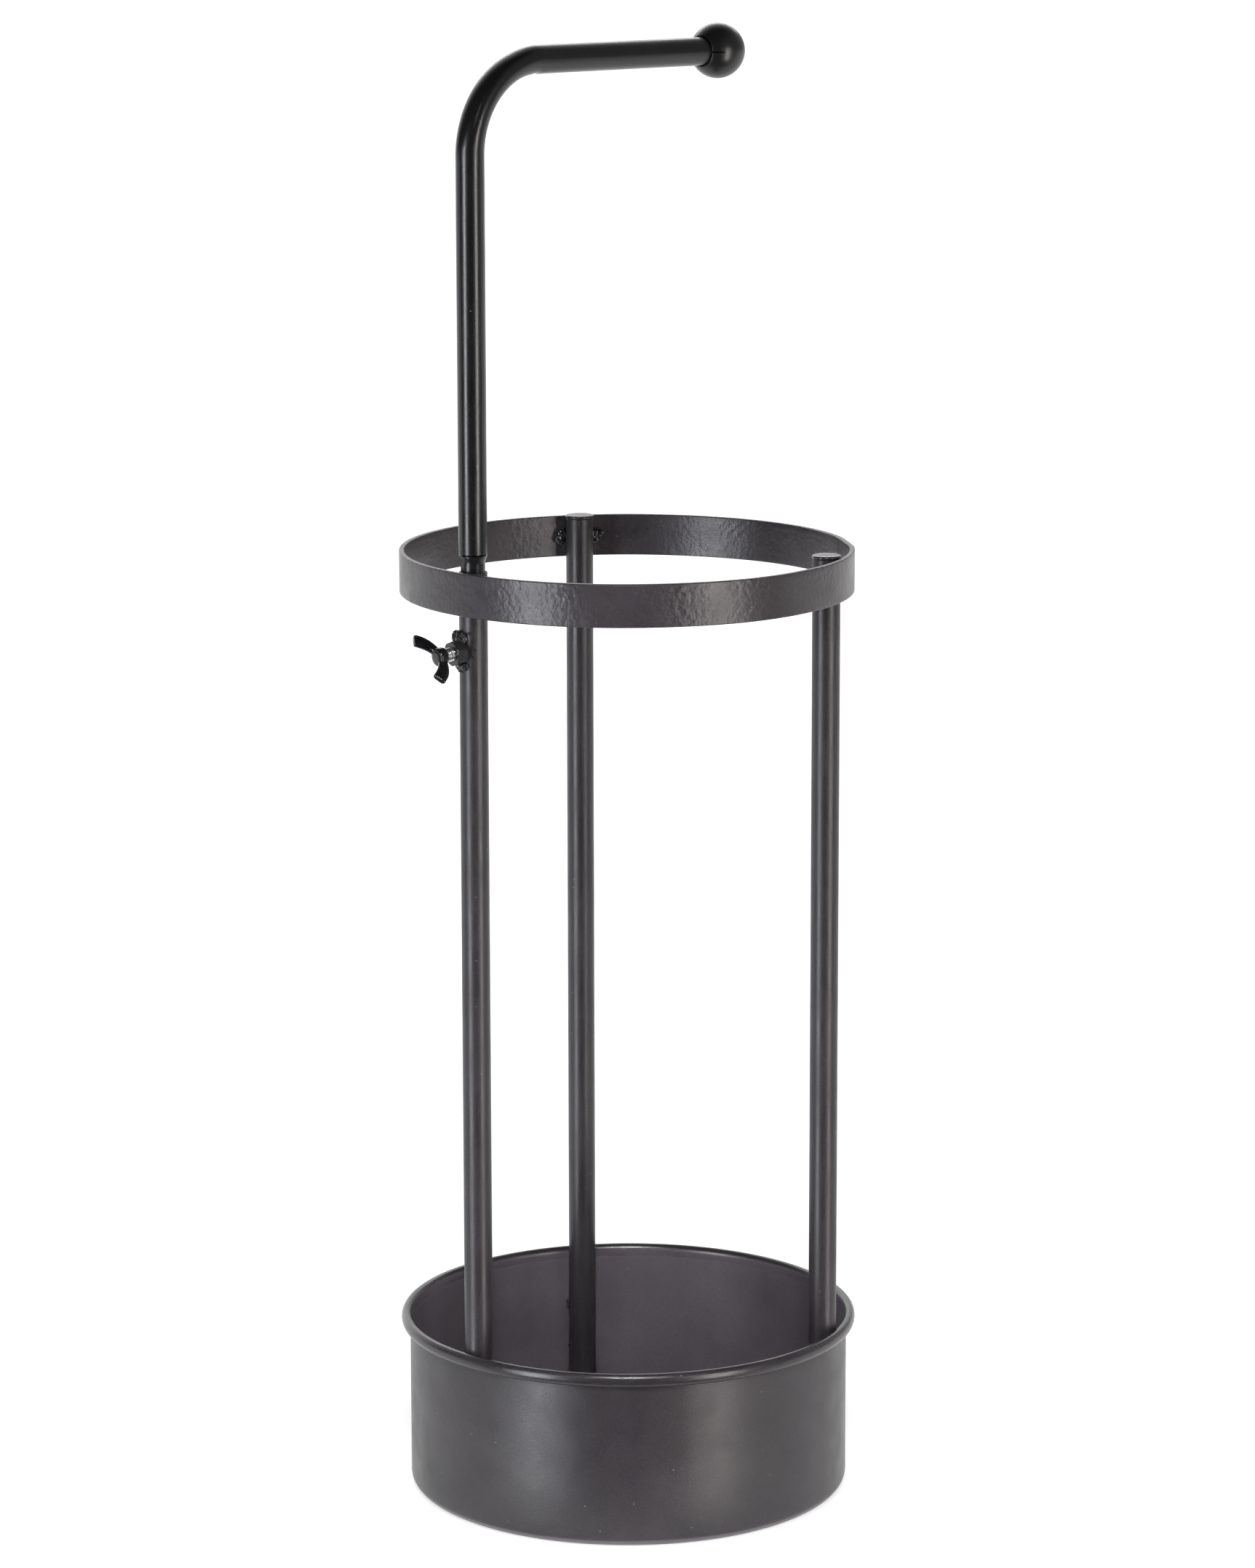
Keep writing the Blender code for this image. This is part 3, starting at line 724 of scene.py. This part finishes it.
def make_head():
    """Moulded wing head: boss and ears fused, with fillets where they meet."""
    end = HEAD_BASE + 0.0057
    boss_r = 0.0052
    profile = [(0.0, end), (boss_r * 0.55, end - 0.0001), (boss_r - 0.0014, end - 0.0004)]
    profile += arc((boss_r - 0.0012, end - 0.0016), 0.0012, 80, -80, 6)
    profile += [(boss_r, HEAD_BASE + 0.0006), (boss_r - 0.0004, HEAD_BASE), (0.0, HEAD_BASE)]
    sides = 48
    rings = []
    for r, z in profile:
        r = max(r, AXIS_GAP)
        turns = [TAU * i / sides for i in range(sides)]
        rings.append([Vector((r * math.cos(a), r * math.sin(a), z)) for a in turns])
    parts = [skin(rings), skin(ear_sections(1)), skin(ear_sections(-1))]
    head = joined("wing_head", parts, HEAD_GLOSS)
    fuse = head.modifiers.new("fuse", "REMESH")
    fuse.mode = "VOXEL"
    fuse.voxel_size = 0.00022
    soften = head.modifiers.new("soften", "SMOOTH")
    soften.factor = 0.5
    soften.iterations = 7
    bpy.context.view_layer.update()
    mesh = bpy.data.meshes.new_from_object(head.evaluated_get(bpy.context.evaluated_depsgraph_get()))
    head.modifiers.clear()
    head.data = mesh
    mesh.transform(screw_frame(HEAD_TURN))
    mesh.shade_smooth()
    install(head, "screw_head", "gloss_black", "wing_screw_head")


# ---------------------------------------------------------------- handle and its ball


def make_spigot():
    """Reduced end of the handle that stands in the socket post."""
    top = NECK_TOP + 0.0006
    profile = [(0.0, top), (SPIGOT_R, top), (SPIGOT_R, POST_TOP), (SPIGOT_R, SPIGOT_FOOT + 0.001)]
    profile += [(SPIGOT_R - 0.001, SPIGOT_FOOT), (0.0, SPIGOT_FOOT)]
    spigot = turned("handle_neck", profile, HANDLE_PAINT, 96, Matrix.Translation(SOCKET))
    install(spigot, "handle_lift", "satin_black_paint", "handle_spigot")


def handle_stations():
    """(out, up, heading) along the handle's centre line, from the shoulder to inside the ball."""
    stations = []
    foot = SHOULDER_TOP + FIT_GAP
    past = BEND_R * (1 + math.sin(ARM_DROOP))
    drop = BEND_R * (1 - math.cos(ARM_DROOP)) + (ARM_REACH - past) * math.tan(ARM_DROOP)
    top = BALL.z + drop - BEND_R
    for i in range(40):
        stations.append((0.0, foot + (top - foot) * i / 40, math.pi / 2))
    for i in range(49):
        a = math.pi - (math.pi / 2 + ARM_DROOP) * i / 48
        stations.append((BEND_R + BEND_R * math.cos(a), top + BEND_R * math.sin(a), a - math.pi / 2))
    bend_end = stations[-1]
    end = ARM_REACH + 0.0015
    for i in range(1, 41):
        out = bend_end[0] + (end - bend_end[0]) * i / 40
        stations.append((out, bend_end[1] - (out - bend_end[0]) * math.tan(ARM_DROOP), -ARM_DROOP))
    return stations


def make_handle():
    """Bent tube: round on the straights, flattened through the bend, narrowed to the spigot at its foot."""
    place = frame_at(SOCKET, ARM_BEARING)
    sides = 96
    rings = []
    swage = [(SPIGOT_R - 0.0002, NECK_TOP - 0.0004), (SPIGOT_R, NECK_TOP)]
    for i in range(1, 10):
        radius = SPIGOT_R + (TUBE_R - SPIGOT_R) * smooth_step(i / 10)
        swage.append((radius, NECK_TOP + (SHOULDER_TOP - NECK_TOP) * i / 10))
    for r, z in swage:
        rings.append([place @ Vector((r * math.cos(TAU * j / sides), -r * math.sin(TAU * j / sides), z))
                      for j in range(sides)])
    travelled = 0.0
    before = None
    for out, up, heading in handle_stations():
        travelled += (Vector((out, up)) - Vector(before)).length if before else 0.0
        before = (out, up)
        bent = (math.pi / 2 - heading) / (math.pi / 2)
        flat = smooth_step(bent * 4) * smooth_step((1 - bent) * 4)
        kink = math.exp(-((bent - 0.97) / 0.05) ** 2) if 0 < bent < 1 else 0.0
        bulge = 1 + 0.035 * flat
        n_out, n_up = math.sin(heading), -math.cos(heading)
        ring = []
        for j in range(sides):
            a = TAU * j / sides
            across, inward = math.sin(a), math.cos(a)
            squeeze = 0.0009 * flat if inward < 0 else 0.0005 * flat
            reach = TUBE_R - squeeze * abs(inward) ** 1.5
            wobble = 0.00005 * noise.noise(Vector((math.cos(a), math.sin(a), travelled * 30)))
            dent = 0.00045 * kink * max(inward, 0.0) ** 3
            r_in = (reach - dent + wobble) * inward
            r_side = (TUBE_R * bulge + wobble) * across
            ring.append(place @ Vector((out + r_in * n_out, r_side, up + r_in * n_up)))
        rings.append(ring)
    handle = mesh_object("handle_cane", *skin(rings), HANDLE_PAINT)
    install(handle, "handle", "satin_black_paint", "handle_tube")


def make_ball():
    """Push-on ball: a lip stands round the tube, and a slit runs in from it at the front."""
    mouth_r = TUBE_R + 0.0002
    lip = 0.0007
    start = math.degrees(math.asin((mouth_r + lip) / BALL_R))
    mouth_z = -BALL_R * math.cos(math.radians(start))
    profile = [(0.0, -0.004), (mouth_r, -0.004), (mouth_r, mouth_z + 0.0006)]
    profile += arc((mouth_r + lip * 0.8, mouth_z + 0.0006), lip * 0.8, 180, 120, 6)
    profile += [(BALL_R * math.sin(math.radians(a)), -BALL_R * math.cos(math.radians(a)))
                for a in [start + 2.0 + (178.0 - start) * i / 56 for i in range(57)]]
    place = frame_at(BALL, ARM_BEARING) @ Matrix.Rotation(math.pi / 2 + ARM_DROOP, 4, "Y")

    def slit(angle, r, z):
        """Sinks the outside where the place's own -Y is, from the mouth in to the slit's length."""
        length, half_width, depth = 0.0052, 0.00052, 0.0022
        if z > mouth_z + length or r < mouth_r:
            return r, z
        off = ((angle + math.pi / 2 + math.pi) % TAU - math.pi) * r
        return r - depth * math.exp(-(off / half_width) ** 8), z

    ball = turned("ball_knob", profile, BALL_PLASTIC, 480, place, shift=slit)
    install(ball, "handle", "matte_black_plastic", "ball_end")


# ---------------------------------------------------------------- build

make_camera()
make_floor()
make_studio()
make_pan()
make_hoop()
make_seam_weld()
for post in POSTS:
    make_post(post)
make_cap("rear")
make_cap("right")
make_hoop_welds()
make_pan_welds()
make_nut()
make_nut_welds()
make_stud()
make_head()
make_spigot()
make_handle()
make_ball()
